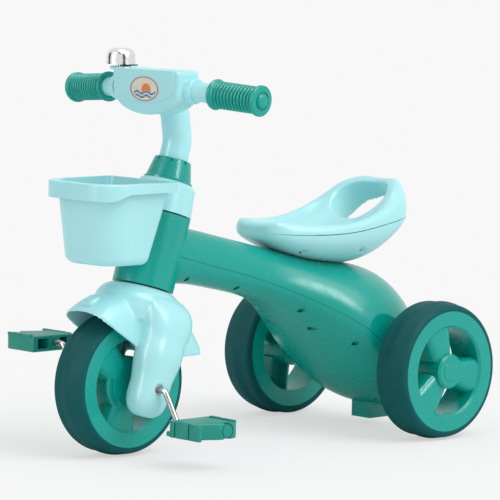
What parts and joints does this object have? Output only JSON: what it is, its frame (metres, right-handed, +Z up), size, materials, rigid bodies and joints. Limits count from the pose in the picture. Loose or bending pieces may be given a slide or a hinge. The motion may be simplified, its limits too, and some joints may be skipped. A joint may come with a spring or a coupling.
{
  "type": "children's tricycle",
  "caption": "Direct-drive children's tricycle with a leaning steered fork, dished plastic seat, front basket, ribbed grips and a thumb bell.",
  "frame": {"origin": "on the ground, midway between the front and rear axles and in the middle plane", "axes": "+Z up, +Y to the rear, +X to the rider's left"},
  "size_m": [0.3856, 0.637, 0.535],
  "materials": {
    "mint": "smooth satin-gloss moulding",
    "teal": "smooth satin-gloss moulding",
    "bearing_plastic": "plain",
    "tyre": "matt, smooth tread",
    "steel": "plain bright steel",
    "screw": "zinc plated",
    "chrome": "polished",
    "lever": "smooth",
    "badge": "printed label"
  },
  "bodies": {
    "frame": {"upper_body_shell": "teal", "lower_body_shell": "teal", "body_screws": "screw", "upper_head_bush": "bearing_plastic", "lower_head_bush": "bearing_plastic", "rear_axle": "steel", "axle_spacers": "bearing_plastic", "axle_nuts": "steel", "seat_top_shell": "mint", "seat_bottom_shell": "mint", "seat_screws": "screw"},
    "steering": {"fork_fender": "mint", "steerer_tube": "steel", "stem_pin": "steel", "crank_bushes": "bearing_plastic", "basket_bracket": "mint", "basket": "mint", "basket_screws": "screw", "lock_collar": "teal", "handlebar_stem": "mint", "handlebar": "mint", "cover_front": "mint", "cover_rear": "mint", "cover_screws": "screw", "badge": "badge", "left_grip": "teal", "right_grip": "teal", "bell_clamp": "mint", "bell_clamp_screw": "screw", "bell_base": "mint", "bell_post": "steel", "bell_dome": "chrome", "bell_dome_nut": "screw"},
    "bell_lever": {"bell_lever": "lever"},
    "front_wheel": {"front_tyre": "tyre", "front_rim": "teal", "drive_plates": "teal", "crank_axle": "steel"},
    "left_pedal": {"left_pedal": "teal", "left_pedal_cap": "teal"},
    "right_pedal": {"right_pedal": "teal", "right_pedal_cap": "teal"},
    "left_rear_wheel": {"left_rear_tyre": "tyre", "left_rear_rim": "teal", "left_hub_cap": "teal"},
    "right_rear_wheel": {"right_rear_tyre": "tyre", "right_rear_rim": "teal", "right_hub_cap": "teal"}
  },
  "joints": [
    {"name": "steering", "type": "hinge", "parent": "frame", "child": "steering", "pos_m": [0, -0.2235, 0.095], "axis": [0, 0.2924, 0.9563], "range_deg": [-40, 40]},
    {"name": "bell_lever", "type": "hinge", "parent": "steering", "child": "bell_lever", "pos_m": [-0.07468, -0.15305, 0.507], "axis": [0, 0, 1], "range_deg": [0, 15], "stiffness_Nm_per_rad": 0.02},
    {"name": "front_wheel_spin", "type": "hinge", "parent": "steering", "child": "front_wheel", "pos_m": [0, -0.2235, 0.095], "axis": [1, 0, 0], "continuous": true},
    {"name": "left_pedal_spin", "type": "hinge", "parent": "front_wheel", "child": "left_pedal", "pos_m": [0.155, -0.21987, 0.05356], "axis": [1, 0, 0], "continuous": true},
    {"name": "right_pedal_spin", "type": "hinge", "parent": "front_wheel", "child": "right_pedal", "pos_m": [-0.155, -0.22713, 0.13644], "axis": [1, 0, 0], "continuous": true},
    {"name": "left_rear_spin", "type": "hinge", "parent": "frame", "child": "left_rear_wheel", "pos_m": [0.153, 0.2235, 0.095], "axis": [1, 0, 0], "continuous": true},
    {"name": "right_rear_spin", "type": "hinge", "parent": "frame", "child": "right_rear_wheel", "pos_m": [-0.153, 0.2235, 0.095], "axis": [1, 0, 0], "continuous": true}
  ]
}
